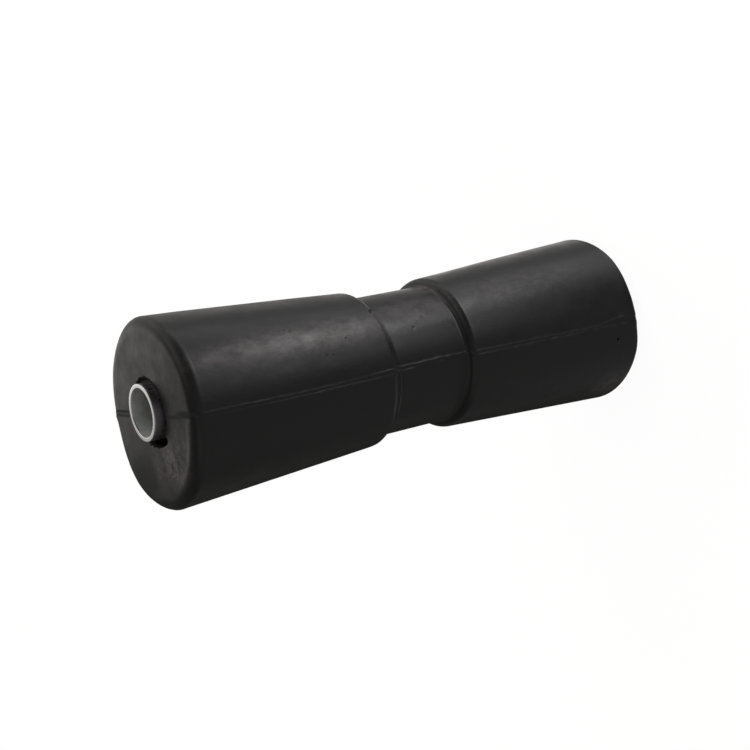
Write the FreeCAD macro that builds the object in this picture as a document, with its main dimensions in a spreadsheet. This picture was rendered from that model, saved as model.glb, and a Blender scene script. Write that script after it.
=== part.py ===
import FreeCAD, Part
import math
import os

import Sketcher

# Keel roller for a boat trailer: a bow-tie rubber moulding on a steel tube.
# It stands on the lower end of its tube. +Z runs up the axis that the rubber is turned about,
# and the two halves of the mould met in the XZ plane, so the parting line runs up +X and -X.

# Driving dimensions, in millimetres: alias, value, what it is
DIMENSIONS = [
    ("rubber_length", 200, "rubber, from one end face to the other"),
    ("end_diameter", 67.2, "rubber, where its cones reach the two end faces"),
    ("waist_diameter", 52.4, "plain middle that the keel runs on"),
    ("waist_length", 33.4, "plain middle, between its two steps"),
    ("step_height", 2.8, "how far each shoulder stands above the waist"),
    ("step_run", 0.6, "how far each step leans along the axis"),
    ("rim_rounding", 3.6, "rounding between an end face and its cone"),
    ("shoulder_rounding", 2.5, "rounding on top of the lower step"),
    ("shoulder_bevel", 0.8, "bevel on top of the upper step, which is crisper"),
    ("tube_diameter", 20, "steel tube, outside"),
    ("tube_wall", 1.5, "steel tube, wall"),
    ("tube_proud", 3, "how far the tube stands out of each end face"),
    ("tube_rise", 1.4, "how far the tube sits off the middle of the rubber, towards +Y"),
    ("edge_break", 0.3, "bevel on the edges of the cut tube"),
    ("mouth_gap", 1.7, "open ring in the rubber round the tube, across"),
    ("mouth_depth", 2.5, "open ring in the rubber round the tube, deep"),
    ("mouth_draft", 12, "lean of the open ring's outer wall, degrees"),
    ("band_width", 1.8, "strip of flash along the parting line"),
    ("band_height", 0.25, "how far the flash stands up"),
    ("groove_width", 0.9, "groove along the middle of the flash"),
    ("tear_length", 14.4, "torn pocket beside the tube, long"),
    ("tear_width", 2.6, "torn pocket beside the tube, wide"),
    ("tear_depth", 8, "torn pocket beside the tube, deep"),
    ("tear_side", 3.2, "middle of the torn pocket from the YZ plane"),
    ("tear_overlap", 0.3, "how far the torn pocket reaches under the tube"),
    ("tear_rounding", 0.9, "torn pocket, at its corners"),
]

# A rounding may take up to this share of the wall that it sits on
STEP_SHARE = 0.9
TEAR_SHARE = 0.4

# Places and sizes that follow from the driving dimensions
LOW_FACE = "Sizes.tube_proud"
HIGH_FACE = "(Sizes.tube_proud + Sizes.rubber_length)"
MIDDLE = "(Sizes.tube_proud + Sizes.rubber_length / 2)"
END_RADIUS = "(Sizes.end_diameter / 2)"
WAIST_RADIUS = "(Sizes.waist_diameter / 2)"
SHOULDER_RADIUS = "(Sizes.waist_diameter / 2 + Sizes.step_height)"
WAIST_LOW = f"({MIDDLE} - Sizes.waist_length / 2)"
WAIST_HIGH = f"({MIDDLE} + Sizes.waist_length / 2)"
SHOULDER_LOW = f"({WAIST_LOW} - Sizes.step_run)"
SHOULDER_HIGH = f"({WAIST_HIGH} + Sizes.step_run)"
BEVEL = "Sizes.shoulder_bevel"
STEP_LEAN = "(Sizes.step_run / Sizes.step_height)"
CONE_LEAN = f"(({END_RADIUS} - {SHOULDER_RADIUS}) / ({HIGH_FACE} - {SHOULDER_HIGH}))"
TUBE_RADIUS = "(Sizes.tube_diameter / 2)"
MOUTH_RADIUS = f"({TUBE_RADIUS} + Sizes.mouth_gap)"
LOW_RIM = f"({LOW_FACE} - Sizes.band_height)"
HIGH_RIM = f"({HIGH_FACE} + Sizes.band_height)"
TEAR_HIGH = f"(Sizes.tube_rise - {TUBE_RADIUS} + Sizes.tear_overlap)"
TEAR_LOW = f"({TEAR_HIGH} - Sizes.tear_width)"
TEAR_ARC = f"min(Sizes.tear_rounding; Sizes.tear_width * {TEAR_SHARE})"
SHOULDER_ARC = f"min(Sizes.shoulder_rounding; Sizes.step_height * {STEP_SHARE})"


def size_sheet(doc):
    sheet = doc.addObject("Spreadsheet::Sheet", "Sizes")
    for row, (alias, value, note) in enumerate(DIMENSIONS, start=1):
        sheet.set(f"A{row}", note)
        sheet.set(f"B{row}", str(value))
        sheet.setAlias(f"B{row}", alias)
    doc.recompute()
    return sheet


def plane_sketch(body, name, role, height=None):
    # A sketch on one of the body's own origin planes, raised along its normal if a height is given
    plane = [part for part in body.Origin.OriginFeatures if part.Role == role][0]
    sketch = body.newObject("Sketcher::SketchObject", name)
    sketch.AttachmentSupport = [(plane, "")]
    sketch.MapMode = "FlatFace"
    if height:
        sketch.setExpression(".AttachmentOffset.Base.z", height)
    return sketch


def bind(sketch, constraint, expression):
    index = sketch.addConstraint(constraint)
    sketch.setExpression(f"Constraints[{index}]", expression)


def place_point(sketch, sheet, geometry, position, across, along):
    # Holds one point of the sketch at two bound distances from the sketch's origin
    bind(sketch, Sketcher.Constraint("DistanceX", -1, 1, geometry, position,
                                     float(sheet.evalExpression(across))), across)
    bind(sketch, Sketcher.Constraint("DistanceY", -1, 1, geometry, position,
                                     float(sheet.evalExpression(along))), along)


def closed_outline(sketch, sheet, corners):
    # A closed outline of straight lines through the given corners. A corner is a pair of bound
    # distances and, where it is rounded, the bound radius of the arc that takes its place.
    points = []
    for across, along, _ in corners:
        points.append(FreeCAD.Vector(sheet.evalExpression(across), sheet.evalExpression(along), 0))
    count = len(corners)
    starts = list(points)
    ends = list(points)
    arcs = {}
    for i, (_, _, rounding) in enumerate(corners):
        if not rounding:
            continue
        radius = float(sheet.evalExpression(rounding))
        back = (points[i - 1] - points[i]).normalize()
        onward = (points[(i + 1) % count] - points[i]).normalize()
        half = back.getAngle(onward) / 2
        reach = radius / math.tan(half)
        centre = points[i] + (back + onward).normalize() * (radius / math.sin(half))
        ends[i] = points[i] + back * reach
        starts[i] = points[i] + onward * reach
        turns_left = back.cross(onward).z < 0
        first = ends[i] - centre
        last = starts[i] - centre
        if not turns_left:
            first, last = last, first
        arcs[i] = (centre, radius, math.atan2(first.y, first.x), math.atan2(last.y, last.x),
                   turns_left, rounding)
    lines = []
    for i in range(count):
        line = Part.LineSegment(starts[i], ends[(i + 1) % count])
        lines.append(sketch.addGeometry(line, False))
    for i, (across, along, _) in enumerate(corners):
        arriving = lines[i - 1]
        leaving = lines[i]
        if i not in arcs:
            sketch.addConstraint(Sketcher.Constraint("Coincident", arriving, 2, leaving, 1))
            place_point(sketch, sheet, leaving, 1, across, along)
            continue
        centre, radius, low, high, turns_left, rounding = arcs[i]
        circle = Part.Circle(centre, FreeCAD.Vector(0, 0, 1), radius)
        arc = sketch.addGeometry(Part.ArcOfCircle(circle, low, high), False)
        entry = 1 if turns_left else 2
        sketch.addConstraint(Sketcher.Constraint("Tangent", arriving, 2, arc, entry))
        sketch.addConstraint(Sketcher.Constraint("Tangent", leaving, 1, arc, 3 - entry))
        bind(sketch, Sketcher.Constraint("Radius", arc, radius), rounding)
        corner = sketch.addGeometry(Part.Point(points[i]), True)
        sketch.addConstraint(Sketcher.Constraint("PointOnObject", corner, 1, arriving))
        sketch.addConstraint(Sketcher.Constraint("PointOnObject", corner, 1, leaving))
        place_point(sketch, sheet, corner, 1, across, along)


def circle_at(sketch, sheet, radius, across, along):
    centre = FreeCAD.Vector(sheet.evalExpression(across), sheet.evalExpression(along), 0)
    size = float(sheet.evalExpression(radius))
    circle = sketch.addGeometry(Part.Circle(centre, FreeCAD.Vector(0, 0, 1), size), False)
    bind(sketch, Sketcher.Constraint("Radius", circle, size), radius)
    place_point(sketch, sheet, circle, 3, across, along)


def roller_side(lift):
    # One side of the moulding's outline, upwards. A lift moves it outwards by that much.
    end = f"({END_RADIUS} + {lift})"
    shoulder = f"({SHOULDER_RADIUS} + {lift})"
    waist = f"({WAIST_RADIUS} + {lift})"
    return [
        (end, f"({LOW_FACE} - {lift})", "Sizes.rim_rounding"),
        (shoulder, SHOULDER_LOW, SHOULDER_ARC),
        (waist, WAIST_LOW, None),
        (waist, WAIST_HIGH, None),
        (f"({shoulder} - {BEVEL})", f"({SHOULDER_HIGH} - {BEVEL} * {STEP_LEAN})", None),
        (f"({shoulder} + {BEVEL} * {CONE_LEAN})", f"({SHOULDER_HIGH} + {BEVEL})", None),
        (end, f"({HIGH_FACE} + {lift})", "Sizes.rim_rounding"),
    ]


def half_section():
    # The moulding's half section, out from the axis and up one side
    side = roller_side("0")
    return [("0", LOW_FACE, None)] + side + [("0", HIGH_FACE, None)]


def full_section(lift):
    # The whole outline in the parting plane: up the +X side and down the -X side
    side = roller_side(lift)
    other = [(f"(-1 * {across})", along, arc) for across, along, arc in reversed(side)]
    return side + other


def rubber_roller(doc, sheet):
    body = doc.addObject("PartDesign::Body", "RubberRoller")
    body.Label = "rubber_roller"

    section = plane_sketch(body, "Section", "XZ_Plane")
    closed_outline(section, sheet, half_section())
    moulding = body.newObject("PartDesign::Revolution", "Moulding")
    moulding.Profile = section
    moulding.ReferenceAxis = (section, ["V_Axis"])
    moulding.Angle = 360
    doc.recompute()

    # Flash where the mould halves met: a low strip all the way round, with a groove along it
    strip = plane_sketch(body, "FlashOutline", "XZ_Plane")
    closed_outline(strip, sheet, full_section("Sizes.band_height"))
    flash = body.newObject("PartDesign::Pad", "Flash")
    flash.Profile = strip
    flash.Midplane = True
    flash.setExpression("Length", "Sizes.band_width")
    doc.recompute()

    trough = plane_sketch(body, "GrooveOutline", "XZ_Plane")
    closed_outline(trough, sheet, full_section("2 * Sizes.band_height"))
    closed_outline(trough, sheet, full_section("0"))
    groove = body.newObject("PartDesign::Pocket", "FlashGroove")
    groove.Profile = trough
    groove.Midplane = True
    groove.setExpression("Length", "Sizes.groove_width")
    doc.recompute()

    hole = plane_sketch(body, "BoreOutline", "XY_Plane")
    circle_at(hole, sheet, TUBE_RADIUS, "0", "Sizes.tube_rise")
    bore = body.newObject("PartDesign::Pocket", "TubeBore")
    bore.Profile = hole
    bore.Type = "ThroughAll"
    bore.Reversed = True
    doc.recompute()

    # The rubber stands clear of the tube in an open ring at each end face
    for name, height, upwards in (("Low", LOW_RIM, True), ("High", HIGH_RIM, False)):
        ring = plane_sketch(body, f"{name}MouthOutline", "XY_Plane", height)
        circle_at(ring, sheet, MOUTH_RADIUS, "0", "Sizes.tube_rise")
        mouth = body.newObject("PartDesign::Pocket", f"{name}Mouth")
        mouth.Profile = ring
        mouth.Reversed = upwards
        mouth.setExpression("Length", "Sizes.mouth_depth + Sizes.band_height")
        mouth.setExpression("TaperAngle", "-1 * Sizes.mouth_draft")
        doc.recompute()

    # A pocket torn in the rubber below the tube, at the upper end
    rip = plane_sketch(body, "TearOutline", "XY_Plane", HIGH_FACE)
    left = "(Sizes.tear_side - Sizes.tear_length / 2)"
    right = "(Sizes.tear_side + Sizes.tear_length / 2)"
    closed_outline(rip, sheet, [
        (left, TEAR_LOW, TEAR_ARC),
        (right, TEAR_LOW, TEAR_ARC),
        (right, TEAR_HIGH, TEAR_ARC),
        (left, TEAR_HIGH, TEAR_ARC),
    ])
    tear = body.newObject("PartDesign::Pocket", "Tear")
    tear.Profile = rip
    tear.setExpression("Length", "Sizes.tear_depth")
    doc.recompute()
    return body


def steel_tube(doc, sheet):
    body = doc.addObject("PartDesign::Body", "SteelTube")
    body.Label = "steel_tube"

    ring = plane_sketch(body, "TubeOutline", "XY_Plane")
    circle_at(ring, sheet, TUBE_RADIUS, "0", "Sizes.tube_rise")
    circle_at(ring, sheet, f"({TUBE_RADIUS} - Sizes.tube_wall)", "0", "Sizes.tube_rise")
    tube = body.newObject("PartDesign::Pad", "Tube")
    tube.Profile = ring
    tube.setExpression("Length", "Sizes.rubber_length + 2 * Sizes.tube_proud")
    doc.recompute()

    edges = enumerate(tube.Shape.Edges, start=1)
    rims = [f"Edge{number}" for number, edge in edges if isinstance(edge.Curve, Part.Circle)]
    bevel = body.newObject("PartDesign::Chamfer", "EdgeBreak")
    bevel.Base = (tube, rims)
    bevel.setExpression("Size", "Sizes.edge_break")
    doc.recompute()
    return body


def check(doc, bodies):
    for item in doc.Objects:
        if "Invalid" in item.State or "Error" in item.State:
            raise RuntimeError(f"{item.Name} failed: {item.State}")
    for body in bodies:
        if body.Shape.isNull() or not body.Shape.isValid():
            raise RuntimeError(f"{body.Label} has no valid shape")
        if len(body.Shape.Solids) != 1:
            raise RuntimeError(f"{body.Label} is {len(body.Shape.Solids)} solids")
    # Each cut has to take something away
    for item in doc.Objects:
        if item.TypeId == "PartDesign::Pocket":
            if item.Shape.Volume >= item.BaseFeature.Shape.Volume:
                raise RuntimeError(f"{item.Name} cuts nothing")


def main():
    doc = FreeCAD.newDocument("KeelRoller")
    sheet = size_sheet(doc)
    bodies = [rubber_roller(doc, sheet), steel_tube(doc, sheet)]
    doc.recompute()
    check(doc, bodies)
    os.makedirs("parts", exist_ok=True)
    for body in bodies:
        body.Shape.exportStep(f"parts/{body.Label}.step")
        box = body.Shape.BoundBox
        print(f"{body.Label}: {body.Shape.Volume:.0f} mm3, "
              f"{box.XLength:.2f} x {box.YLength:.2f} x {box.ZLength:.2f} mm")


main()
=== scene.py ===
# Keel roller for a boat trailer: a bow-tie rubber moulding bonded onto a steel tube.
# It stands on the lower end of its tube. The camera is rolled, so the roller lies across the picture.
import math
import bpy
import bmesh
import numpy
from mathutils import Matrix, Vector


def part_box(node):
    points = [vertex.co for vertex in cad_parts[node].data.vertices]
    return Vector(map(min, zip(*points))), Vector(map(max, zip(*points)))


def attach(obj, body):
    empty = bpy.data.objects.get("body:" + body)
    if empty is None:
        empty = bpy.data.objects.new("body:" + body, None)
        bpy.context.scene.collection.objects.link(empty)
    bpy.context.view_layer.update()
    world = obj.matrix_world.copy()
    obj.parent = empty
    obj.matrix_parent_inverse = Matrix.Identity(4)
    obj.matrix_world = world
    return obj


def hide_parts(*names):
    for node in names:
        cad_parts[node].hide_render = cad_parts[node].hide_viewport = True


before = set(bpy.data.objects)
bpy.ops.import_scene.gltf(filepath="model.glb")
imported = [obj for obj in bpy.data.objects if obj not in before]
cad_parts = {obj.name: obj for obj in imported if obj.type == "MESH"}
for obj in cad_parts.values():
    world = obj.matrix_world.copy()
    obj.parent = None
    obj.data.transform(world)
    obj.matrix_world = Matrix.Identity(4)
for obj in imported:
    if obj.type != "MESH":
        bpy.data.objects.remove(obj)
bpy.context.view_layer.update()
print("stage: frame loaded")

mm = 0.001


def linear(hexColour):
    # sRGB hex to the linear colour that the shaders work in
    channels = [int(hexColour[i:i + 2], 16) / 255 for i in (1, 3, 5)]
    return [c / 12.92 if c <= 0.04045 else ((c + 0.055) / 1.055) ** 2.4 for c in channels] + [1]


def addNode(tree, kind, values=None, links=None, **settings):
    # Adds a node, sets its properties and input values, and links its inputs to (node, output) pairs
    node = tree.nodes.new(kind)
    for name, value in settings.items():
        setattr(node, name, value)
    for name, value in (values or {}).items():
        node.inputs[name].default_value = value
    for name, (source, output) in (links or {}).items():
        tree.links.new(source.outputs[output], node.inputs[name])
    return node


def newMaterial(name):
    material = bpy.data.materials.new(name)
    material.use_nodes = True
    material.node_tree.nodes.clear()
    return material, material.node_tree


def smoothStep(low, high, value):
    share = numpy.clip((value - low) / (high - low), 0, 1)
    return share * share * (3 - 2 * share)


def window(value, rise, fall):
    # 1 between a rise and a fall, which are (start, end) pairs, and 0 outside them
    return smoothStep(*rise, value) * (1 - smoothStep(*fall, value))


def ripple(position, wavelength, seed, waves=5):
    # Uneven waves of about one wavelength, mostly from -1 to 1, the same on each run
    chance = numpy.random.default_rng(seed)
    shortest, longest = 0.6, 1.6    # shares of the wavelength
    peak = 1.2 * waves ** 0.5
    total = numpy.zeros_like(position)
    for _ in range(waves):
        length = wavelength * chance.uniform(shortest, longest)
        total += numpy.sin(2 * math.pi * (position / length + chance.random()))
    return total / peak


def raggedLine(position, waves, seed=0):
    # Sum of ripples, each given as its height, its wavelength and its own number for the seed
    return sum(height * ripple(position, length, seed + own) for height, length, own in waves)


def alongKnots(position, knots):
    places, values = zip(*knots)
    return numpy.interp(position, places, values)


def meshObject(name, points, faces):
    mesh = bpy.data.meshes.new(name)
    mesh.from_pydata([tuple(p) for p in points], [], faces)
    work = bmesh.new()
    work.from_mesh(mesh)
    bmesh.ops.recalc_face_normals(work, faces=work.faces)
    work.to_mesh(mesh)
    work.free()
    mesh.shade_smooth()
    piece = bpy.data.objects.new(name, mesh)
    bpy.context.scene.collection.objects.link(piece)
    return piece


# Sizes that the frame gives, in millimetres
tubeLow, tubeHigh = [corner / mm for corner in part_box("steel_tube")]
rubberLow, rubberHigh = [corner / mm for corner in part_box("rubber_roller")]
tubeRadius = (tubeHigh.x - tubeLow.x) / 2
tubeRise = (tubeHigh.y + tubeLow.y) / 2

# The rubber, in millimetres. Places along it are counted down from the upper end face.
rubber = {
    "flashLift": 0.25,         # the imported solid's flash, which stands on its end faces too
    "endRadius": 33.5,         # cones, where they would meet the end faces
    "shoulderRadius": 29.0,
    "waistRadius": 26.2,
    "waistLength": 33.4,
    "stepRun": 0.6,            # lean of each step along the axis
    "rimAcross": 5.0,          # plain rounding of the rims, across the end face
    "rimDown": 2.7,            # and down the cone
    "shoulderReach": 1.3,      # rounding of the upper shoulder
    "stepFoot": 1.2,           # and of its foot, down the step
    "waistFoot": 2.4,          # and along the waist
    "farShoulderReach": 2.1,   # rounding of the lower shoulder
    "farFoot": 1.2,            # and of its foot
    "dome": 0.2,               # rise of the end faces at the mouth
    "mouthRadius": 11.8,       # open ring round the tube
    "mouthDepth": 2.5,
    "mouthLean": 0.5,
    "mouthFoot": 0.3,          # rounding at the foot of its wall
    "mouthEdge": 0.35,         # and at its edge
    "collar": 0.06,            # thickness of the rubber that clings to the tube above its open ring
    "roundFrom": 24,           # radius from which the rings are centred on the rubber, not on the tube
    "shoulderShift": 0.6,      # how far the lower half's upper shoulder sits nearer the upper end
    "shiftBelow": ((-0.5, 0.5), (13, 20)),     # from where to where, below the parting line
    "shiftAlong": ((74, 80), (86, 90)),        # and along the roller
    "waistEdge": 0.2,          # second faint edge on the waist beside it
    "edgePlace": 85.9,
    "edgeReach": 0.4,
    "seamHalf": 1.8,           # half width of the strip with fine vertices on the parting line
    "seamStep": 0.12,
    "flankPitch": 2.0,         # vertex spacing round the flanks
    "facePitch": 0.5,          # and round the upper end face
    "faceReach": 26.5,         # radius where the fine end face meets the flanks' mesh
    "mouthRow": 0.22,          # spacing of the rows of vertices: in the open rings,
    "fineRow": 0.25,           # beside the upper one,
    "fineRows": 14,
    "plainRow": 0.75,          # over the rest of the upper end face and down the flanks,
    "rimRow": 0.8,             # inside the upper rim,
    "lowerRow": 0.9,           # over the lower end face
    "edgeRow": 0.2,            # and at the second faint edge,
    "edgeRows": 1.8,           # over this length
}

# The tube, in millimetres
tube = {
    "wall": 1.5,
    "edge": 0.14,
    "cutReach": 0.45,          # how far the bright sawn end reaches down it
    "segments": 192,
    "row": 4,                  # spacing of the rows of vertices along it
    "cutRow": 0.2,             # and across its cut ends
}

# Flash on the visible parting line: two ragged ridges on a low swelling. Knots are (place, value).
flash = {
    "upperPlace": [(0, 0.7), (12, 0.65), (21, 0.4), (31, 0.13), (41, -0.07), (61, -0.1), (66, 0.1),
                   (72, 0.25), (78, 0.4), (87, 0.47), (93, 0.37), (105, 0.6), (112, 0.42), (122, 0.25),
                   (133, 0.07), (148, 0.05), (162, -0.3), (178, -0.3), (184, 0.5), (190, 1.15), (200, 1.5)],
    "upperHeight": [(0, 0.14), (12, 0.12), (21, 0.15), (31, 0.13), (41, 0.11), (51, 0.12), (61, 0.08),
                    (70, 0.1), (78, 0.22), (84, 0.15), (91, 0.22), (98, 0.25), (105, 0.27), (111, 0.22),
                    (116, 0.17), (122, 0.15), (133, 0.14), (150, 0.15), (160, 0.14), (178, 0.15),
                    (184, 0.22), (190, 0.34), (196, 0.22), (200, 0.03), (203, 0)],
    "lowerPlace": [(0, -0.6), (12, -0.8), (21, -0.95), (31, -1.3), (41, -1.3), (51, -1.4), (61, -1.4),
                   (70, -1.65), (78, -1.5), (87, -1.2), (93, -1.05), (98, -0.5), (105, -1.05), (112, -1.3),
                   (122, -1.3), (133, -1.5), (148, -1.55), (160, -1.8), (180, -1.8), (190, -2), (200, -2)],
    "lowerHeight": [(0, 0), (8, 0.07), (12, 0.1), (21, 0.14), (31, 0.18), (48, 0.2), (61, 0.19),
                    (70, 0.19), (78, 0.14), (84, 0.24), (89, 0.23), (94, 0.17), (98, 0.2), (105, 0.22),
                    (109, 0), (116, 0), (120, 0.2), (133, 0.21), (150, 0.27), (160, 0.42), (186, 0.5),
                    (192, 0.5), (197, 0.25), (200, 0.03), (203, 0)],
    "swellPlace": [(0, -1.9)],
    "swellHeight": [(0, 0), (30, 0.08), (45, 0.18), (60, 0.18), (75, 0.1), (90, 0.12), (107, 0),
                    (117, 0), (122, 0.16), (140, 0.22), (184, 0.22), (194, 0.1), (198, 0)],
    "swellWidth": [(0, 1.6)],
    "upperWidth": [(0, 0.5), (40, 0.54), (70, 0.5), (115, 0.5), (150, 0.56), (200, 0.7)],
    "lowerWidth": [(0, 0.65), (115, 0.68), (140, 0.8), (160, 1.1), (200, 1.1)],
    # Waves in their course and in their height: height, length and number for the seed
    "courseWaves": [(0.07, 9, 0)],
    "heightWaves": [(0.16, 6, 1), (0.05, 3, 2)],
    "hiddenShift": 37,         # the hidden side has the same ridges, moved along by this much
    # On the end faces the parting line is fine grooves instead: place, depth and half width
    "leftGrooves": [(0.8, 0.04, 0.2), (-0.8, 0.03, 0.2)],
    "rightGrooves": [(-0.3, 0.02, 0.25)],
    "grooveWaves": [(0.3, 4, 21)],
    "faceDepth": (1.5, 0.4),   # the ridges give way to them at this depth below the end faces
    "faceRadius": (31.5, 29.5),    # and at this radius
    "mouthFade": (0.3, 1.5),   # the parting line sets in at this distance from the open rings
}

# Where the moulding strays from its plain round shape. Degrees run round the end faces, 0 at +X and
# 90 at +Y.
uneven = {
    # Rounding of each rim: turn, reach across the end face and reach down the cone
    "upperRim": [(0, 4, 3.7), (8, 3.8, 3.9), (15, 3.6, 3.9), (25, 3, 4.1), (45, 3, 3.9), (60, 3.7, 3.2),
                 (80, 4.8, 2.85), (100, 5.75, 3.1), (130, 6, 3.25), (150, 5.4, 2.9), (186, 5.5, 2.95),
                 (195, 5, 2.7), (206, 3.6, 1.95), (218, 2.1, 1.15), (230, 1.5, 0.8), (242, 2.25, 1.2),
                 (254, 3.5, 1.9), (270, 4.6, 2.7), (285, 4, 2.8), (300, 4.3, 3), (330, 4.2, 3.2),
                 (350, 3.9, 3.4), (360, 4, 3.7)],
    "lowerRim": [(0, 6, 3.25), (20, 6, 3.25), (45, 4, 2.15), (90, 4, 2.15), (200, 5, 2.7), (290, 4.6, 2.5),
                 (317, 4.5, 2.4), (327, 4.1, 2.2), (338, 3.8, 2.05), (345, 4.6, 2.5), (352, 5.6, 3),
                 (360, 6, 3.25)],
    "faceSpread": 9.5,         # rows beside the rounding are spread evenly this far across the face
    "coneSpread": 12,          # and down the cone
    # Low crest just inside the upper rim: turn and height
    "crest": [(0, 0), (250, 0), (295, 0.06), (305, 0.12), (315, 0.18), (345, 0.21), (354, 0.17),
              (359, 0), (360, 0)],
    "crestRadius": 28.7,
    "crestReach": 1.25,
    # Rise of each mould half away from the parting line, in millimetres along the roller
    "upperHalf": [(0, 0.1), (15, 0.3), (60, 0.2), (83, 0), (117, 0.05), (135, 0.15), (155, 0.4), (200, 0.6)],
    "lowerHalf": [(0, 0.05), (80, 0.2), (84, 0), (117, 0.2), (200, 0.3)],
    "halfRadius": (14, 24),    # it sets in between these radii
    # Open ring round the tube, in millimetres beyond its plain radius
    "mouth": [(0, 0.3), (30, -0.3), (60, 0), (100, -0.1), (180, -0.2), (290, 0), (325, 0.9), (345, 0.8),
              (360, 0.3)],
    "mouthWaves": [(0.16, 16, 3), (0.09, 6, 4)],
    "filmWidth": 0.4,          # what stays with the tube,
    "wallWidth": 0.5,          # what moves whole with the ring's wall, to each side,
    "wallFade": 4,             # and how far beyond the wall the end face moves with it
    # Depth of the open ring as a share of the full depth
    "mouthFloor": [(0, 1), (20, 0.9), (38, 0.55), (60, 0.4), (110, 0.4), (150, 0.5), (250, 0.7),
                   (285, 1), (360, 1)],
    # How far the rubber film climbs up the tube above the open ring's floor, in millimetres
    "collar": [(0, 0.7), (20, 0.9), (30, 2.4), (42, 3.1), (70, 3.1), (85, 1.8), (105, 0.8), (180, 0.8),
               (290, 1.6), (312, 2.6), (330, 1.8), (345, 0.8), (360, 0.7)],
    "collarWaves": [(0.2, 14, 8), (0.1, 6, 9)],
    "collarLeast": 0.2,
}

# The pocket torn in the rubber below the tube, in millimetres. Knots are (x, y).
tear = {
    "top": [(-5, -9.4), (0, -8.7), (5, -8.0), (10, -7.3), (11, -7.8)],
    "bottom": [(-5, -9.5), (-3.5, -10.3), (-1, -10.8), (3, -11.1), (7, -10.6), (10, -9.4), (11, -8.4)],
    "ends": (-4.6, 10.8),
    "waves": [(0.2, 2.1, 5), (0.1, 0.8, 6)],   # ragged edge: height, length and number for the seed
    "walls": (-0.1, 0.35),     # its walls lean from here to here, inwards from its edge
    "depth": 8,
}


def roundedCorner(before, corner, after, reachBefore, reachAfter, steps):
    # An elliptical arc that takes the place of a corner, tangent to both of its lines
    corner, before, after = (numpy.array(p, float) for p in (corner, before, after))
    start = corner + (before - corner) * reachBefore / numpy.linalg.norm(before - corner)
    end = corner + (after - corner) * reachAfter / numpy.linalg.norm(after - corner)
    weight = math.sqrt(0.5)
    arc = []
    for t in numpy.linspace(0, 1, steps + 1):
        a, b, c = (1 - t) ** 2, 2 * t * (1 - t) * weight, t ** 2
        arc.append(tuple((a * start + b * corner + c * end) / (a + b + c)))
    return arc


def straight(start, end, pitch):
    # Points after the start and before the end
    length = math.dist(start, end)
    count = max(1, round(length / pitch))
    start, end = numpy.array(start, float), numpy.array(end, float)
    return [tuple(start + (end - start) * i / count) for i in range(1, count)]


upperFace = rubberHigh.z - rubber["flashLift"]
lowerFace = rubberLow.z + rubber["flashLift"]
middle = (upperFace + lowerFace) / 2


def endOutline(face, up):
    # From the tube out across an end face, in (radius, height): the open ring, its edge and the dome.
    # up is 1 at the upper end and -1 at the lower one.
    floor = face - up * rubber["mouthDepth"]
    mouth = rubber["mouthRadius"]
    foot = mouth - rubber["mouthLean"]
    bend = rubber["mouthFoot"]
    edge = rubber["mouthEdge"]
    top = face + up * rubber["dome"]
    row = rubber["mouthRow"]
    film = tubeRadius + rubber["collar"]
    closeRow = 0.01    # rows of the film, which shapeRubber draws out along the tube
    points = [(tubeRadius, floor), (tubeRadius + rubber["collar"] / 2, floor)]
    points += [(film, floor + up * closeRow * i) for i in range(4)]
    points += straight((film, floor), (foot, floor), row)
    points += roundedCorner((tubeRadius, floor), (foot, floor), (mouth, top), bend, bend, 3)
    points += straight((foot, floor), (mouth, top - up * edge), row)[2:]
    points += roundedCorner((foot, floor), (mouth, top), (rubber["endRadius"], top), edge, edge, 4)
    return points


def dome(radius, face, up):
    # Height of an end face at a radius: it rises towards the mouth
    width = rubber["endRadius"] - rubber["rimAcross"] - rubber["mouthRadius"]
    share = (radius - rubber["mouthRadius"]) / width
    return face + up * rubber["dome"] * (1 - share ** 2)


def flankOutline():
    # From one rim over both cones to the other, in (radius, height)
    end = rubber["endRadius"]
    shoulder = rubber["shoulderRadius"]
    waist = rubber["waistRadius"]
    half = rubber["waistLength"] / 2
    lean = rubber["stepRun"]
    inner = rubber["mouthRadius"]
    top = [(inner, upperFace), (end, upperFace), (shoulder, middle + half + lean), (waist, middle + half)]
    low = [(waist, middle - half), (shoulder, middle - half - lean), (end, lowerFace), (inner, lowerFace)]
    corners = top + low
    # Reach of each corner's rounding to both sides, and the steps in its arc
    reaches = {
        1: (rubber["rimAcross"], rubber["rimDown"], 9),
        2: (rubber["shoulderReach"], rubber["shoulderReach"], 9),
        3: (rubber["stepFoot"], rubber["waistFoot"], 9),
        4: (rubber["farFoot"], rubber["farFoot"], 6),
        5: (rubber["farShoulderReach"], rubber["farShoulderReach"], 9),
        6: (rubber["rimDown"], rubber["rimAcross"], 9),
    }
    points = []
    for i in range(1, 7):
        arc = roundedCorner(corners[i - 1], corners[i], corners[i + 1], *reaches[i])
        if points:
            points += straight(points[-1], arc[0], rubber["plainRow"])
        points += arc
        if i == 3:
            # Fine rows at the foot of the upper step, for the second faint edge
            points += straight(arc[-1], (waist, arc[-1][1] - rubber["edgeRows"]), rubber["edgeRow"])
    return points


def ringSamples(pitch):
    # Places round a ring: side, distance from the parting plane, and share of the way from there to the
    # ring's top or bottom
    half = rubber["seamHalf"]
    seam = numpy.linspace(-half, half, round(2 * half / rubber["seamStep"]) + 1)
    quarter = math.pi / 2 * rubber["endRadius"] - half
    count = round(quarter / pitch)
    shares = numpy.arange(1, count + 1) / count
    one = [(-half, s) for s in shares[::-1]] + [(w, 0) for w in seam] + [(half, s) for s in shares]
    right = [(1, w, s) for w, s in one]
    left = [(-1, w, s) for w, s in one[::-1][1:-1]]
    return numpy.array(right + left)


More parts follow.
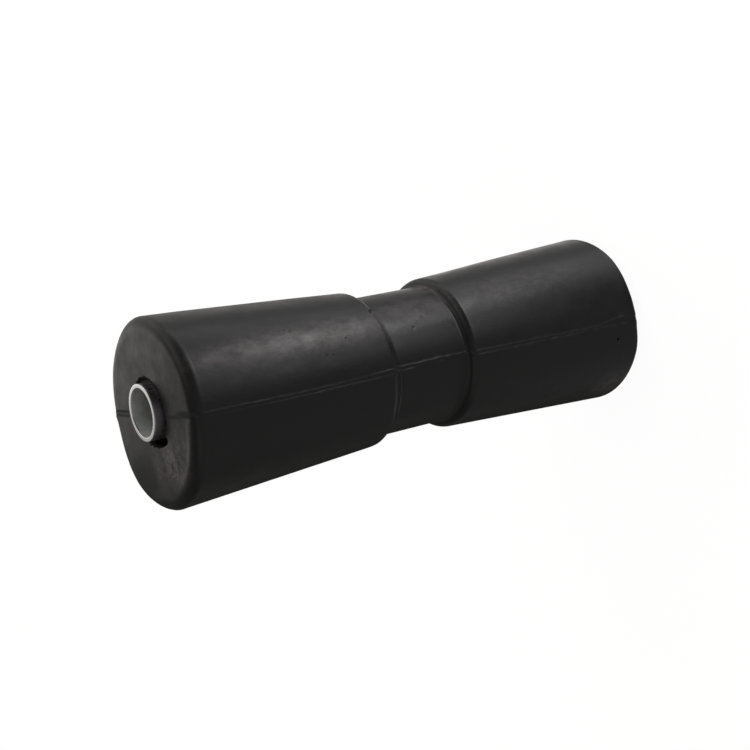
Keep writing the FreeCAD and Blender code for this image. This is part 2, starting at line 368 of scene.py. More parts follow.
def ringAngles(samples, radius, centre):
    # Angles of a ring's vertices about its own centre. Those of the seam keep their distance from its
    # plane.
    base = numpy.arcsin((samples[:, 1] - centre) / radius)
    return base + samples[:, 2] * (numpy.sign(samples[:, 1]) * math.pi / 2 - base)


def latheGrid(outline, samples):
    # Arrays of positions and outward normals, one row for each point of the outline
    outline = numpy.array(outline)
    tangent = numpy.gradient(outline, axis=0)
    normal = numpy.stack([-tangent[:, 1], tangent[:, 0]], 1)
    normal /= numpy.linalg.norm(normal, axis=1)[:, None]
    points = []
    normals = []
    for (radius, height), (across, up) in zip(outline, normal):
        # The rings are centred on the tube at the mouth and on the rubber further out
        centre = tubeRise * (1 - float(smoothStep(rubber["mouthRadius"] + 1, rubber["roundFrom"], radius)))
        angle = ringAngles(samples, radius, centre)
        side = samples[:, 0]
        points.append(numpy.stack([side * radius * numpy.cos(angle), centre + radius * numpy.sin(angle),
                                   numpy.full_like(angle, height)], 1))
        normals.append(numpy.stack([side * across * numpy.cos(angle), across * numpy.sin(angle),
                                    numpy.full_like(angle, up)], 1))
    return numpy.array(points), numpy.array(normals)


def seamHeight(points, run):
    # How far the flash stands up at each vertex. The hidden side has flash of the same kind.
    place = upperFace - points[..., 2]
    w = points[..., 1]
    height = numpy.zeros_like(w)
    for side, here, seed in ((1, place, 11), (-1, numpy.abs(place - flash["hiddenShift"]), 47)):
        for name, offset in (("upper", 0), ("lower", 5), ("swell", 9)):
            course = raggedLine(run, flash["courseWaves"], seed + offset)
            centre = alongKnots(here, flash[name + "Place"]) + course
            rough = raggedLine(run, flash["heightWaves"], seed + offset)
            tall = alongKnots(here, flash[name + "Height"]) * (1 + rough)
            reach = alongKnots(here, flash[name + "Width"])
            ridge = numpy.clip(tall, 0, None) * numpy.exp(-((w - centre) / reach) ** 2)
            height += numpy.where(points[..., 0] * side > 0, ridge, 0)
    radius = numpy.hypot(points[..., 0], points[..., 1])
    length = upperFace - lowerFace
    depth = numpy.minimum(place, length - place)
    face = smoothStep(*flash["faceDepth"], depth) * smoothStep(*flash["faceRadius"], radius)
    grooves = numpy.zeros_like(w)
    for side, pair in ((-1, flash["leftGrooves"]), (1, flash["rightGrooves"])):
        for centre, deep, reach in pair:
            rough = raggedLine(radius, flash["grooveWaves"])
            groove = deep * (1 + rough) * numpy.exp(-((w - centre) / reach) ** 2)
            grooves += numpy.where(points[..., 0] * side > 0, groove, 0)
    return height * (1 - face) - grooves * face


def torn(points):
    # How deep each vertex of the upper face lies in the torn pocket, as a share of its depth
    x, y = points[..., 0], points[..., 1]
    rough = raggedLine(x, tear["waves"])
    left, right = tear["ends"]
    top = alongKnots(x, tear["top"]) + rough
    bottom = alongKnots(x, tear["bottom"]) + rough
    inside = numpy.minimum(numpy.minimum(top - y, y - bottom), numpy.minimum(x - left, right - x))
    return smoothStep(*tear["walls"], inside)


def turnOf(points):
    # Degrees round the end faces
    return numpy.degrees(numpy.arctan2(points[..., 1], points[..., 0])) % 360


def shapeRims(points):
    # Stretches the rounding of each rim from its corner, and spreads the rows beside it evenly
    radius = numpy.hypot(points[..., 0], points[..., 1])
    turn = turnOf(points)
    out = radius.copy()
    height = points[..., 2].copy()
    slack = 0.02
    for face, up, knots in ((upperFace, 1, uneven["upperRim"]), (lowerFace, -1, uneven["lowerRim"])):
        across = rubber["endRadius"] - radius
        down = up * (face - points[..., 2])
        rounding = (across < rubber["rimAcross"] + slack) & (down < rubber["rimDown"] + slack)
        onFace = down < 1
        near = down < uneven["coneSpread"]
        for distance, plain, column, far, where in (
                (across, rubber["rimAcross"], 1, uneven["faceSpread"], onFace),
                (down, rubber["rimDown"], 2, uneven["coneSpread"], near)):
            reach = alongKnots(turn, [(k[0], k[column]) for k in knots])
            spread = reach + (distance - plain) * (far - reach) / (far - plain)
            beside = where & ~rounding & (distance > plain) & (distance < far)
            moved = numpy.where(rounding, distance * reach / plain, numpy.where(beside, spread, distance))
            if column == 1:
                out = numpy.where(near, rubber["endRadius"] - moved, out)
            else:
                height = numpy.where(near, face - up * moved, height)
    points = points.copy()
    points[..., :2] *= (out / radius)[..., None]
    points[..., 2] = height
    return points


def shapeMouth(points):
    # The open ring is ragged, and a film of rubber clings to the tube above its floor
    centred = points - numpy.array([0, tubeRise, 0])
    radius = numpy.hypot(centred[..., 0], centred[..., 1])
    turn = turnOf(centred)
    mouth = rubber["mouthRadius"]
    wall = uneven["wallWidth"]
    ragged = alongKnots(turn, uneven["mouth"]) + raggedLine(turn, uneven["mouthWaves"])
    reach = window(radius, (tubeRadius + uneven["filmWidth"], mouth - wall),
                   (mouth + wall, mouth + uneven["wallFade"]))
    out = radius + ragged * reach
    points = points.copy()
    points[..., :2] += centred[..., :2] * (out / radius - 1)[..., None]
    length = upperFace - lowerFace
    depth = numpy.clip(length / 2 - numpy.abs(points[..., 2] - middle), 0, None)
    floor = alongKnots(turn, uneven["mouthFloor"])
    fill = depth * (1 - floor) * (radius < mouth + 2 * wall)
    points[..., 2] += fill * numpy.sign(points[..., 2] - middle)
    climb = alongKnots(turn, uneven["collar"]) * (1 + raggedLine(turn, uneven["collarWaves"]))
    # The film ends below the bright sawn end of the tube
    highest = rubber["mouthDepth"] * floor + (tubeHigh.z - upperFace - tube["cutReach"])
    slack = 0.001
    film = radius < tubeRadius + rubber["collar"] + slack
    return points, numpy.where(film, numpy.clip(climb, uneven["collarLeast"], highest), 0)


def shapeRubber(points, normals):
    points = shapeRims(points)
    run = numpy.cumsum(numpy.linalg.norm(numpy.diff(points[:, 0], axis=0, prepend=points[:1, 0]), axis=1))
    run = numpy.repeat(run[:, None], points.shape[1], 1)
    radius = numpy.hypot(points[..., 0], points[..., 1])
    start, full = [rubber["mouthRadius"] + distance for distance in flash["mouthFade"]]
    lift = seamHeight(points, run) * smoothStep(start, full, radius)
    points, climb = shapeMouth(points)
    shaped = points + normals * lift[..., None]
    shaped[..., 2] += climb * numpy.sign(points[..., 2] - middle)
    onFace = points[..., 2] > upperFace - 2
    crest = alongKnots(turnOf(points), uneven["crest"]) * onFace
    crest *= numpy.exp(-((radius - uneven["crestRadius"]) / uneven["crestReach"]) ** 2)
    shaped += normals * crest[..., None]
    # Each half also stands a little off the parting line
    place = upperFace - points[..., 2]
    share = points[..., 1] / numpy.maximum(radius, 1) * smoothStep(*uneven["halfRadius"], radius)
    upper, lower = [alongKnots(place, uneven[half]) for half in ("upperHalf", "lowerHalf")]
    shaped[..., 1] += numpy.where(share > 0, upper, lower) * share
    # Below the parting line the upper shoulder sits a little nearer the upper end, and a second faint edge
    # runs beside it on the waist
    fade = window(-points[..., 1], *rubber["shiftBelow"])
    shaped[..., 2] += rubber["shoulderShift"] * fade * window(place, *rubber["shiftAlong"])
    ridge = rubber["waistEdge"] * numpy.exp(-((place - rubber["edgePlace"]) / rubber["edgeReach"]) ** 2)
    shaped += normals * (ridge * fade)[..., None]
    return shaped


def gridFaces(rows, columns, first):
    faces = []
    for i in range(rows - 1):
        for j in range(columns):
            k = (j + 1) % columns
            faces.append((first + i * columns + j, first + i * columns + k,
                          first + (i + 1) * columns + k, first + (i + 1) * columns + j))
    return faces


def bridgeFaces(inner, innerFirst, outer, outerFirst):
    # Triangles between two rings with different numbers of vertices, both in the order of their angles
    angles = [numpy.unwrap(numpy.arctan2(ring[:, 1], ring[:, 0])) for ring in (inner, outer)]
    a, b = [numpy.append(angle, angle[0] + 2 * math.pi) for angle in angles]
    faces = []
    i = j = 0
    while i < len(inner) or j < len(outer):
        first, second = innerFirst + i % len(inner), outerFirst + j % len(outer)
        if j >= len(outer) or (i < len(inner) and a[i + 1] <= b[j + 1]):
            faces.append((first, second, innerFirst + (i + 1) % len(inner)))
            i += 1
        else:
            faces.append((first, second, outerFirst + (j + 1) % len(outer)))
            j += 1
    return faces


def buildRubber():
    reach = rubber["faceReach"]
    fine = ringSamples(rubber["facePitch"])
    coarse = ringSamples(rubber["flankPitch"])
    rimStart = rubber["endRadius"] - rubber["rimAcross"]
    rimGap, mouthGap, fineGap = 0.3, 0.7, 0.6    # least gaps that the rows of an end face keep

    upperMouth = endOutline(upperFace, 1)
    radii = [upperMouth[-1][0] + rubber["fineRow"] * i for i in range(1, rubber["fineRows"] + 1)]
    radii += list(numpy.arange(radii[-1] + fineGap, reach, rubber["plainRow"]))
    upperDisc = upperMouth + [(r, dome(r, upperFace, 1)) for r in radii]

    row = rubber["rimRow"]
    flank = [(r, dome(r, upperFace, 1)) for r in numpy.arange(reach + row / 2, rimStart - rimGap, row)]
    flank += flankOutline()
    row = rubber["lowerRow"]
    lowerRadii = numpy.arange(rimStart - row, rubber["mouthRadius"] + mouthGap, -row)
    flank += [(r, dome(r, lowerFace, -1)) for r in lowerRadii]
    flank += endOutline(lowerFace, -1)[::-1]

    discPoints, discNormals = latheGrid(upperDisc, fine)
    flankPoints, flankNormals = latheGrid(flank, coarse)
    disc = shapeRubber(discPoints, discNormals)
    disc[..., 2] -= tear["depth"] * torn(disc)
    sides = shapeRubber(flankPoints, flankNormals)

    rows, columns = disc.shape[:2]
    sideRows, sideColumns = sides.shape[:2]
    sideFirst = rows * columns
    faces = gridFaces(rows, columns, 0)
    faces += gridFaces(sideRows, sideColumns, sideFirst)
    faces += bridgeFaces(disc[-1], (rows - 1) * columns, sides[0], sideFirst)
    # The hole for the tube, from the floor of one open ring to that of the other
    faces += bridgeFaces(disc[0], 0, sides[-1], sideFirst + (sideRows - 1) * sideColumns)
    points = numpy.concatenate([disc.reshape(-1, 3), sides.reshape(-1, 3)]) * mm
    return meshObject("moulded_rubber", points, faces)


# Knocks and pores: radius, place and degrees, then size, depth and the raised lip, in millimetres
marks = [
    (29.0, 82.1, 48.5, 0.65, 0.55, 0.3),
    (31.1, 44.6, 41.1, 0.45, 0.12, 0),
    (30.5, 55.1, 19.5, 0.5, 0.1, 0),
    (30.4, 57.5, 18.8, 0.4, 0.1, 0),
    (30.0, 65.3, 28.7, 0.5, 0.12, 0.03),
    (26.2, 96.7, 30.0, 0.5, 0.14, 0),
    (26.2, 102.9, 38.2, 0.7, 0.14, 0),
    (32.9, 187.8, 347.1, 0.5, 1.5, 0.03),
    (22.4, 0, 297, 0.5, 0.16, 0.02),
    (20.2, 0, 307, 0.4, 0.14, 0.02),
    (24.3, 0, 302, 0.4, 0.12, 0),
]


def pressMarks(piece):
    # Splits the faces round each mark and presses the new vertices in
    reach, splits = 3, 3                 # the reach is in sizes of the mark, and so is the lip's place
    lipPlace, lipWidth = 1.5, 0.4
    work = bmesh.new()
    work.from_mesh(piece.data)
    for radius, place, turn, size, depth, lip in marks:
        turn = math.radians(turn)
        centre = Vector((radius * math.cos(turn), radius * math.sin(turn), upperFace - place)) * mm
        for _ in range(splits):
            near = [f for f in work.faces if (f.calc_center_median() - centre).length < reach * size * mm]
            edges = dict.fromkeys(edge for face in near for edge in face.edges)
            bmesh.ops.subdivide_edges(work, edges=list(edges), cuts=1, use_grid_fill=True)
        work.normal_update()
        for vertex in work.verts:
            away = (vertex.co - centre).length / (size * mm)
            if away < reach:
                raised = lip * math.exp(-((away - lipPlace) / lipWidth) ** 2)
                vertex.co -= vertex.normal * (depth * math.exp(-away ** 2) - raised) * mm
    work.to_mesh(piece.data)
    work.free()


rubberPiece = buildRubber()
pressMarks(rubberPiece)
print("stage: rubber", len(rubberPiece.data.polygons), "faces")


def buildTube():
    # A ring of its wall's outline: up the bore, over the upper cut, down the outside and over the lower cut
    outer = tubeRadius
    inner = tubeRadius - tube["wall"]
    edge = tube["edge"]
    row, cutRow, steps = tube["row"], tube["cutRow"], 4
    low, high = tubeLow.z, tubeHigh.z
    outline = straight((inner, middle), (inner, high - edge), row)
    outline += roundedCorner((inner, middle), (inner, high), (outer, high), edge, edge, steps)
    outline += straight(outline[-1], (outer - edge, high), cutRow)
    outline += roundedCorner((inner, high), (outer, high), (outer, low), edge, edge, steps)
    outline += straight((outer, high - edge), (outer, low + edge), row)
    outline += roundedCorner((outer, high), (outer, low), (inner, low), edge, edge, steps)
    outline += straight((outer - edge, low), (inner + edge, low), cutRow)
    outline += roundedCorner((outer, low), (inner, low), (inner, high), edge, edge, steps)
    outline += straight((inner, low + edge), (inner, middle), row)
    outline.append((inner, middle))
    columns = tube["segments"]
    turns = numpy.linspace(0, 2 * math.pi, columns, endpoint=False)
    rings = [numpy.stack([r * numpy.cos(turns), tubeRise + r * numpy.sin(turns),
                          numpy.full_like(turns, z)], 1) for r, z in outline]
    points = numpy.concatenate(rings) * mm
    faces = gridFaces(len(rings), columns, 0)
    last = (len(rings) - 1) * columns
    faces += [(last + j, last + (j + 1) % columns, (j + 1) % columns, j) for j in range(columns)]
    return meshObject("tube_steel", points, faces)


tubePiece = buildTube()
print("stage: tube", len(tubePiece.data.polygons), "faces")


# Look of the rubber. Patches are (middle, reach to each side, strength), in millimetres from the
# frame's origin. Sizes of the noises and heights of the bumps are in millimetres too.
rubberLook = {
    "colour": "#212223",
    "bloomAndHighlightColour": "#8b807e",      # dusty bloom and scuffs, and painted highlight
    "tornColour": "#3f3b3e",       # raw rubber in the open ring
    "deepShadeColour": "#060606",       # painted shade deep in the tear and the open ring
    "dustColour": "#6d6870",
    "glossy": 0.32,
    "dull": 0.435,
    "matt": 0.78,
    "tornMatt": 0.95,
    "index": 1.52,                 # index of refraction
    "patchSize": 7,                # patches of duller and glossier skin
    "speckleSize": 3,              # unevenness that the mould's face left
    "grainSize": 0.45,             # the skin's own grain is finer: it's as coarse as it needs to show
    "crumbSize": 1.1,              # crumbs in the open ring
    "skinBump": 0.05,
    "grainBump": 0.013,
    "tornReach": 14,               # radius about the tube within which the rubber is torn
    # Lighter patches: some on the end face, some in the flanks' highlights, where they are partly painted
    # highlight, and painted highlight by the lower rim and on the waist beside the lower step
    "bloomAndHighlight": [((11.5, -16.5, 203), (7.5, 6.5, 3), 1.15), ((20, -12, 203), (6, 8, 3), 0.45),
              ((25, 17, 155), (10, 5, 40), 0.5), ((19, -26, 8), (9, 6, 11), 0.36),
              ((17, 19, 103), (9, 5, 16), 0.25), ((20, 20, 55), (8, 6, 35), 0.2),
              ((6, 24.5, 87.5), (7, 2.5, 2.6), 0.45), ((2, -18, 203), (6, 6, 3), 0.4),
              ((24, 13, 203), (6, 8, 2), 0.15)],
    "mattPatches": [((-24, 0.8, 203), (9, 0.45, 2), 0.75), ((-24, -0.8, 203), (9, 0.45, 2), 0.55),
                    ((-24, 0, 203), (9, 1.2, 2), 0.3), ((27, 0.9, 203), (4.5, 1.2, 2), 0.75),
                    ((22.5, 0.4, 203), (3, 1.5, 2), 0.4), ((19, -0.2, 203), (6, 0.6, 2), 0.45),
                    ((24, 9, 203), (9, 9, 2), 0.2), ((-14, -24, 203), (10, 8, 3), 0.5)],
}


def patchMask(tree, place, centre, size):
    # 1 in the middle of a soft oval patch, 0 outside it
    stretch, fullFrom = 1.6, 0.75
    oval = addNode(tree, "ShaderNodeMapping", links={"Vector": (place, "Object")}, vector_type="TEXTURE")
    oval.inputs["Location"].default_value = [c * mm for c in centre]
    oval.inputs["Scale"].default_value = [s * mm * stretch for s in size]
    ball = addNode(tree, "ShaderNodeTexGradient", links={"Vector": (oval, "Vector")},
                   gradient_type="SPHERICAL")
    return addNode(tree, "ShaderNodeMapRange", {"From Max": fullFrom}, {"Value": (ball, "Fac")},
                   interpolation_type="SMOOTHSTEP")


def fromMiddleAndAxis(tree, place):
    # Height above or below the roller's middle, and distance from the tube's axis
    split = addNode(tree, "ShaderNodeSeparateXYZ", links={"Vector": (place, "Object")})
    rise = addNode(tree, "ShaderNodeMath", {1: middle * mm}, {0: (split, "Z")}, operation="SUBTRACT")
    height = addNode(tree, "ShaderNodeMath", links={0: (rise, "Value")}, operation="ABSOLUTE")
    around = addNode(tree, "ShaderNodeVectorMath", {1: (0, -tubeRise * mm, 0)}, {0: (place, "Object")})
    flat = addNode(tree, "ShaderNodeVectorMath", {1: (1, 1, 0)}, {0: (around, "Vector")},
                   operation="MULTIPLY")
    radius = addNode(tree, "ShaderNodeVectorMath", links={0: (flat, "Vector")}, operation="LENGTH")
    return height, radius


def mouldedRubber():
    # Black natural rubber, pressed in a steel mould: a dark body under a satin skin. The uneven skin
    # breaks up the broad highlight, bloom and scuffs lift it to grey in places, and painted highlight
    # brightens parts of the highlights. Torn rubber stays dull, with painted shade deep in the tear and the
    # open ring.
    material, tree = newMaterial("mouldedRubber")
    place = addNode(tree, "ShaderNodeTexCoord")
    along = addNode(tree, "ShaderNodeMapping", links={"Vector": (place, "Object")})
    along.inputs["Scale"].default_value = (1, 1, 0.7)
    patches = addNode(tree, "ShaderNodeTexNoise",
                      {"Scale": 1 / (rubberLook["patchSize"] * mm), "Detail": 5, "Roughness": 0.6},
                      {"Vector": (along, "Vector")})
    speckle = addNode(tree, "ShaderNodeTexNoise",
                      {"Scale": 1 / (rubberLook["speckleSize"] * mm), "Detail": 5, "Roughness": 0.68},
                      {"Vector": (along, "Vector")})
    grain = addNode(tree, "ShaderNodeTexNoise", {"Scale": 1 / (rubberLook["grainSize"] * mm), "Detail": 2},
                    {"Vector": (place, "Object")})

    def summed(kind):
        # Strength of all the patches of a kind
        total = None
        for centre, size, strength in rubberLook[kind]:
            mask = patchMask(tree, place, centre, size)
            scaled = addNode(tree, "ShaderNodeMath", {1: strength}, {0: (mask, "Result")},
                             operation="MULTIPLY")
            total = scaled if total is None else addNode(
                tree, "ShaderNodeMath", links={0: (total, "Value"), 1: (scaled, "Value")},
                operation="MAXIMUM")
        return total

    gloss = addNode(tree, "ShaderNodeMapRange",
                    {"From Min": 0.34, "From Max": 0.66,
                     "To Min": rubberLook["glossy"], "To Max": rubberLook["dull"]},
                    {"Value": (patches, "Fac")})
    broken = addNode(tree, "ShaderNodeMapRange", {"From Min": 0.36, "From Max": 0.66},
                     {"Value": (speckle, "Fac")})
    # Lighter patches, partly painted highlight, broken up by the speckle
    bloomAndHighlight = addNode(tree, "ShaderNodeMath", links={0: (summed("bloomAndHighlight"), "Value"), 1: (broken, "Result")},
                    operation="MULTIPLY")
    body = addNode(tree, "ShaderNodeMix",
                   {"A": linear(rubberLook["colour"]), "B": linear(rubberLook["bloomAndHighlightColour"])},
                   {"Factor": (bloomAndHighlight, "Value")}, data_type="RGBA")
    dulled = addNode(tree, "ShaderNodeMix", {"B": rubberLook["matt"]},
                     {"A": (gloss, "Result"), "Factor": (summed("mattPatches"), "Value")})

    # Torn rubber: near the tube and below the end faces
    height, radius = fromMiddleAndAxis(tree, place)
    tornReach = rubberLook["tornReach"]
    close = addNode(tree, "ShaderNodeMapRange",
                    {"From Min": (tornReach + 1) * mm, "From Max": tornReach * mm},
                    {"Value": (radius, "Value")})
    end = (upperFace - middle) * mm
    sunk = addNode(tree, "ShaderNodeMapRange", {"From Min": end + 0.1 * mm, "From Max": end - 0.5 * mm},
                   {"Value": (height, "Value")})
    film = addNode(tree, "ShaderNodeMapRange",
                   {"From Min": (tubeRadius + 0.4) * mm, "From Max": (tubeRadius + 0.2) * mm},
                   {"Value": (radius, "Value")})
    either = addNode(tree, "ShaderNodeMath", links={0: (sunk, "Result"), 1: (film, "Result")},
                     operation="MAXIMUM")
    tornShare = addNode(tree, "ShaderNodeMath", links={0: (either, "Value"), 1: (close, "Result")},
                        operation="MULTIPLY")
    # Painted shade: the torn rubber turns near black deep below the end faces, in the tear and on the floor
    # of the open ring
    deep = addNode(tree, "ShaderNodeMapRange", {"From Min": end - 1.6 * mm, "From Max": end - 2.6 * mm},
                   {"Value": (height, "Value")})
    crumbs = addNode(tree, "ShaderNodeTexNoise",
                     {"Scale": 1 / (rubberLook["crumbSize"] * mm), "Detail": 3},
                     {"Vector": (place, "Object")})
    dusty = addNode(tree, "ShaderNodeMapRange", {"From Min": 0.5, "From Max": 0.78},
                    {"Value": (crumbs, "Fac")})
    raw = addNode(tree, "ShaderNodeMix",
                  {"A": linear(rubberLook["tornColour"]), "B": linear(rubberLook["dustColour"])},
                  {"Factor": (dusty, "Result")}, data_type="RGBA")
    shadedRaw = addNode(tree, "ShaderNodeMix", {"B": linear(rubberLook["deepShadeColour"])},
                   {"A": (raw, "Result"), "Factor": (deep, "Result")}, data_type="RGBA")
    colour = addNode(tree, "ShaderNodeMix", links={"A": (body, "Result"), "B": (shadedRaw, "Result"),
                                                   "Factor": (tornShare, "Value")}, data_type="RGBA")
    roughness = addNode(tree, "ShaderNodeMix", {"B": rubberLook["tornMatt"]},
                        {"A": (dulled, "Result"), "Factor": (tornShare, "Value")})

    skin = addNode(tree, "ShaderNodeBump", {"Strength": 1, "Distance": rubberLook["skinBump"] * mm},
                   {"Height": (speckle, "Fac")})
    fine = addNode(tree, "ShaderNodeBump", {"Strength": 1, "Distance": rubberLook["grainBump"] * mm},
                   {"Height": (grain, "Fac"), "Normal": (skin, "Normal")})
    shader = addNode(tree, "ShaderNodeBsdfPrincipled", {"IOR": rubberLook["index"]},
                     {"Base Color": (colour, "Result"), "Roughness": (roughness, "Result"),
                      "Normal": (fine, "Normal")})
    addNode(tree, "ShaderNodeOutputMaterial", links={"Surface": (shader, "BSDF")})
    return material


# Look of the steel. Sizes of the noises and the height of the bump are in millimetres.
steelLook = {
    "cutColour": "#f8f8f7",
    "cutRoughness": 0.22,
    "zincColour": "#b8b5bd",
    "zincRoughness": 0.45,
    "boreColour": "#edf1f2",
    "boreMetal": 0.15,          # the bore's zinc has dulled to white oxide
    "stain": 0.82,              # darkest share of the mottling
    "mottleSize": 2.5,          # spots of dulled zinc
    "sawSize": 0.35,            # a saw's own marks are finer: they are as coarse as they need to show
    "sawBump": 0.01,
    # Painted shade high in the bore, a darker streak on its left wall, and rubber smeared on the tube's
    # side: middle, reach and colour
    "shadeAndSmears": [((-4, 9, 203), (7, 5, 12), "#d6d4d1"), ((-8, 0.5, 198.5), (5, 10, 3.2), "#d6d6d3"),
               ((-9, 2, 202), (3.5, 5, 3.5), "#e9e9e9"), ((7, 9.5, 204.4), (5, 5, 2.5), "#a49ea0")],
}


def platedSteel():
    # Zinc-plated steel tube, sawn to length after plating: a dull mottled grey metal with bright cut ends
    material, tree = newMaterial("platedSteel")
    place = addNode(tree, "ShaderNodeTexCoord")
    height, radius = fromMiddleAndAxis(tree, place)
    end = (tubeHigh.z - middle) * mm
    cut = addNode(tree, "ShaderNodeMapRange",
                  {"From Min": end - (tube["cutReach"] + 0.1) * mm, "From Max": end - tube["cutReach"] * mm},
                  {"Value": (height, "Value")})
    inWall = tubeRadius - tube["wall"] / 2
    outside = addNode(tree, "ShaderNodeMapRange",
                      {"From Min": (inWall - 0.1) * mm, "From Max": (inWall + 0.1) * mm},
                      {"Value": (radius, "Value")})
    mottle = addNode(tree, "ShaderNodeTexNoise",
                     {"Scale": 1 / (steelLook["mottleSize"] * mm), "Detail": 4, "Roughness": 0.6},
                     {"Vector": (place, "Object")})
    zinc = addNode(tree, "ShaderNodeMix",
                   {"A": linear(steelLook["boreColour"]), "B": linear(steelLook["zincColour"])},
                   {"Factor": (outside, "Result")}, data_type="RGBA")
    stain = addNode(tree, "ShaderNodeMapRange",
                    {"From Min": 0.35, "From Max": 0.65, "To Min": steelLook["stain"], "To Max": 1},
                    {"Value": (mottle, "Fac")})
    stained = addNode(tree, "ShaderNodeMix", {"Factor": 1}, {"A": (zinc, "Result"), "B": (stain, "Result")},
                      data_type="RGBA", blend_type="MULTIPLY")
    # Painted shade high in the bore, a darker streak on its left wall, and rubber smeared on the tube's side
    for centre, size, colour in steelLook["shadeAndSmears"]:
        darkPatch = patchMask(tree, place, centre, size)
        stained = addNode(tree, "ShaderNodeMix", {"B": linear(colour)},
                          {"A": (stained, "Result"), "Factor": (darkPatch, "Result")},
                          data_type="RGBA", blend_type="MULTIPLY")
    colour = addNode(tree, "ShaderNodeMix", {"B": linear(steelLook["cutColour"])},
                     {"A": (stained, "Result"), "Factor": (cut, "Result")}, data_type="RGBA")
    # Saw marks run straight across the cut
    across = addNode(tree, "ShaderNodeMapping", links={"Vector": (place, "Object")})
    across.inputs["Scale"].default_value = (0.03, 1, 1)
    saw = addNode(tree, "ShaderNodeTexNoise", {"Scale": 1 / (steelLook["sawSize"] * mm), "Detail": 3},
                  {"Vector": (across, "Vector")})
    sawn = addNode(tree, "ShaderNodeBump", {"Strength": 1, "Distance": steelLook["sawBump"] * mm},
                   {"Height": (saw, "Fac")})
    gloss = addNode(tree, "ShaderNodeMapRange",
                    {"To Min": steelLook["zincRoughness"], "To Max": steelLook["cutRoughness"]},
                    {"Value": (cut, "Result")})
    bare = addNode(tree, "ShaderNodeMath", links={0: (outside, "Result"), 1: (cut, "Result")},
                   operation="MAXIMUM")
    metal = addNode(tree, "ShaderNodeMapRange", {"To Min": steelLook["boreMetal"], "To Max": 1},
                    {"Value": (bare, "Value")})
    shader = addNode(tree, "ShaderNodeBsdfPrincipled",
                     links={"Base Color": (colour, "Result"), "Roughness": (gloss, "Result"),
                            "Metallic": (metal, "Result"), "Normal": (sawn, "Normal")})
    addNode(tree, "ShaderNodeOutputMaterial", links={"Surface": (shader, "BSDF")})
    return material


rubberPiece.data.materials.append(mouldedRubber())
tubePiece.data.materials.append(platedSteel())
for piece, node, slot in ((rubberPiece, "rubber_roller", "black_rubber"),
                          (tubePiece, "steel_tube", "plated_steel")):
    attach(piece, "root")
    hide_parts(node)
print("stage: materials")


# The floor: its reach to each side in metres, its colour and its glow
floorLook = {
    "reach": 30,
    "colour": "#808080",
    "glowColour": "#ffffff",
    "glow": 0.95,
}


def paleFloor():
    # A smooth pale studio sheet. Its glow keeps the shadow on it faint, as a bright sweep does. It only
    # shows: it throws no light and no reflection onto the roller.
    size = floorLook["reach"]
    corners = [(-size, -size, 0), (size, -size, 0), (size, size, 0), (-size, size, 0)]
    floor = meshObject("floor", corners, [(0, 1, 2, 3)])
    material, tree = newMaterial("paleFloor")
    shader = addNode(tree, "ShaderNodeBsdfDiffuse", {"Color": linear(floorLook["colour"])})
    glow = addNode(tree, "ShaderNodeEmission",
                   {"Color": linear(floorLook["glowColour"]), "Strength": floorLook["glow"]})
    both = addNode(tree, "ShaderNodeAddShader", links={0: (shader, "BSDF"), 1: (glow, "Emission")})
    addNode(tree, "ShaderNodeOutputMaterial", links={"Surface": (both, "Shader")})
    floor.data.materials.append(material)
    floor.visible_diffuse = False
    floor.visible_glossy = False
    floor.visible_shadow = False
    return floor


paleFloor()


# Soft boxes: direction from the roller, distance, width and height in millimetres, turn in degrees
# and radiance
softBoxes = {
    "keyLight": ((0.442, 0.785, -0.433), 350, 110, 74, 41, 7.29),
    "keyTail": ((-0.014, 0.89, -0.457), 350, 662, 154, 71, 0.93),
    "frontLight": ((0.747, 0.519, -0.416), 350, 74, 211, -18, 2.34),
    "sideLight": ((0.079, -0.338, -0.938), 700, 510, 683, 17, 0.25),
}

# Large soft panels further off: direction, reach to each side and upwards as a share of the distance,
# turn in degrees and radiance
panels = {
    "backdrop": ((-0.915, 0.395, -0.088), 1.08, 0.54, -3, 0.413),
    "backdropEdge": ((-0.966, 0.012, 0.259), 0.38, 0.15, 0, 0.375),
    "topPanel": ((-0.365, 0.853, 0.373), 0.57, 0.52, 9, 0.521),
    "lowFill": ((0.872, -0.486, 0.063), 0.9, 0.9, -13, 0.132),
    "whiteEdge": ((-0.68, 0.13, -0.71), 0.24, 0.24, 0, 1.1),
    "darkLow": ((-0.62, -0.42, -0.66), 0.36, 0.28, 0, -0.055),
    "lowEdge": ((-0.1, -0.92, -0.39), 0.75, 0.35, 0, 0.05),
    "frontFill": ((0.4, -0.5, 0.77), 0.4, 0.4, 0, 0.18),
    "highFront": ((0.15, 0.65, 0.75), 0.4, 0.4, 0, 0.45),
    "endGlint": ((-0.918, -0.104, 0.383), 0.16, 0.16, 0, 0.12),
}
roomLight = 0.087
panelColour = "#fffcf9"
panelEdge = 0.25            # soft edge of the panels, as a share of their reach
lampColour = "#fffeff"
backColour = "#fbfbfb"      # behind the floor's edge


def facing(towards, turn):
    # Axes of something that faces the roller: across it, up it and away from the roller
    towards = Vector(towards).normalized()
    level = Vector((0, 1, 0)).cross(towards).normalized()
    upright = towards.cross(level)
    turn = math.radians(turn)
    across = level * math.cos(turn) + upright * math.sin(turn)
    return Matrix((across, towards.cross(across), towards)).transposed()


def softLight(name, towards, distance, width, height, turn, radiance):
    # Radiance is what the lamp's face sends to each side
    lamp = bpy.data.lights.new(name, "AREA")
    lamp.shape = "ELLIPSE"
    lamp.size = width * mm
    lamp.size_y = height * mm
    lamp.color = linear(lampColour)[:3]
    lamp.energy = radiance * math.pi * math.pi / 4 * lamp.size * lamp.size_y
    holder = bpy.data.objects.new(name, lamp)
    bpy.context.scene.collection.objects.link(holder)
    place = Vector((0, 0, middle)) + Vector(towards).normalized() * distance
    holder.matrix_world = Matrix.Translation(place * mm) @ facing(towards, turn).to_4x4()
    holder.visible_camera = False


for name, values in softBoxes.items():
    softLight(name, *values)


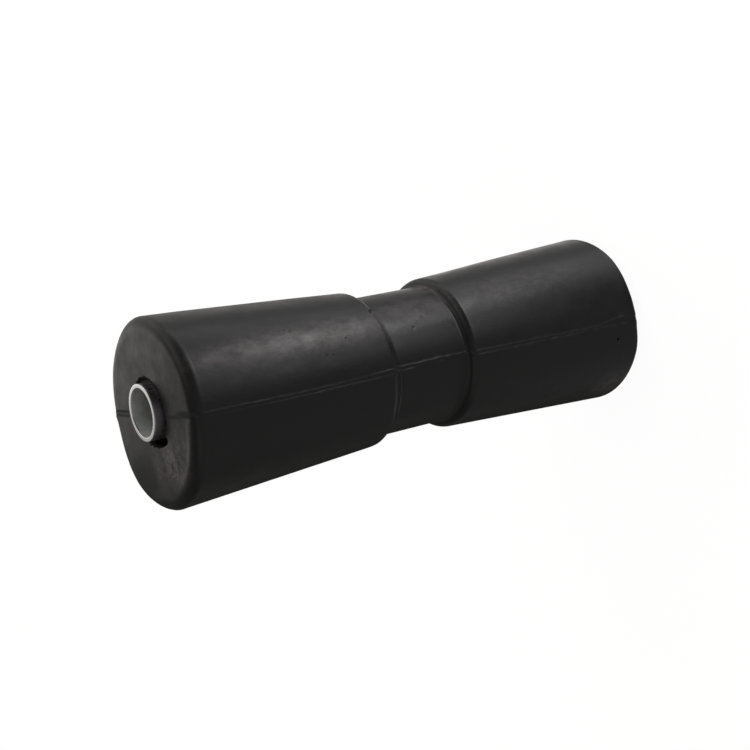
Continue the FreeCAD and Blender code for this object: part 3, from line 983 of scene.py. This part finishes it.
def studioWorld():
    # A dim room with soft bright panels. Behind the floor's edge it shows pale.
    world = bpy.data.worlds.new("studio")
    bpy.context.scene.world = world
    world.use_nodes = True
    tree = world.node_tree
    tree.nodes.clear()
    direction = addNode(tree, "ShaderNodeTexCoord")
    light = (addNode(tree, "ShaderNodeValue"), "Value")
    light[0].outputs[0].default_value = roomLight
    for name, (towards, across, up, turn, radiance) in panels.items():
        panel = addNode(tree, "ShaderNodeMapping", links={"Vector": (direction, "Generated")},
                        vector_type="TEXTURE", label=name)
        panel.inputs["Location"].default_value = Vector(towards).normalized()
        panel.inputs["Rotation"].default_value = facing(towards, turn).to_euler()
        thickness = 2    # more than any reach, so that the two reaches alone shape it
        panel.inputs["Scale"].default_value = (across, up, thickness)
        inside = addNode(tree, "ShaderNodeTexGradient", links={"Vector": (panel, "Vector")},
                         gradient_type="SPHERICAL")
        soft = addNode(tree, "ShaderNodeMapRange", {"From Max": panelEdge, "To Max": radiance},
                       {"Value": (inside, "Fac")}, interpolation_type="SMOOTHSTEP")
        light = (addNode(tree, "ShaderNodeMath", links={0: light, 1: (soft, "Result")}), "Value")
    tinted = addNode(tree, "ShaderNodeVectorMath", {0: linear(panelColour)[:3]}, {"Scale": light},
                     operation="SCALE")
    seen = addNode(tree, "ShaderNodeLightPath")
    room = addNode(tree, "ShaderNodeMix", {"B": linear(backColour)},
                   {"A": (tinted, "Vector"), "Factor": (seen, "Is Camera Ray")}, data_type="RGBA")
    back = addNode(tree, "ShaderNodeBackground", {"Strength": 1}, {"Color": (room, "Result")})
    addNode(tree, "ShaderNodeOutputWorld", links={"Surface": (back, "Background")})


studioWorld()
bpy.context.scene.view_settings.view_transform = "Standard"

# The camera, in millimetres, at the photograph's viewing angle
view = {
    "place": (396.93, 46.54, 371.44),
    "forward": (-0.83156, -0.10499, -0.54542),
    "up": (-0.00182, 0.98248, -0.18636),
    "lens": 60.803,
    "nearest": 10,             # nearest distance that it shows
}
camera = bpy.data.cameras.new("camera")
camera.lens = view["lens"]
camera.clip_start = view["nearest"] * mm
cameraObject = bpy.data.objects.new("camera", camera)
bpy.context.scene.collection.objects.link(cameraObject)
forward = Vector(view["forward"]).normalized()
right = forward.cross(Vector(view["up"])).normalized()
above = right.cross(forward)
turn = Matrix((right, above, -forward)).transposed()
cameraObject.matrix_world = Matrix.Translation(Vector(view["place"]) * mm) @ turn.to_4x4()
bpy.context.scene.camera = cameraObject
print("stage: camera and light")
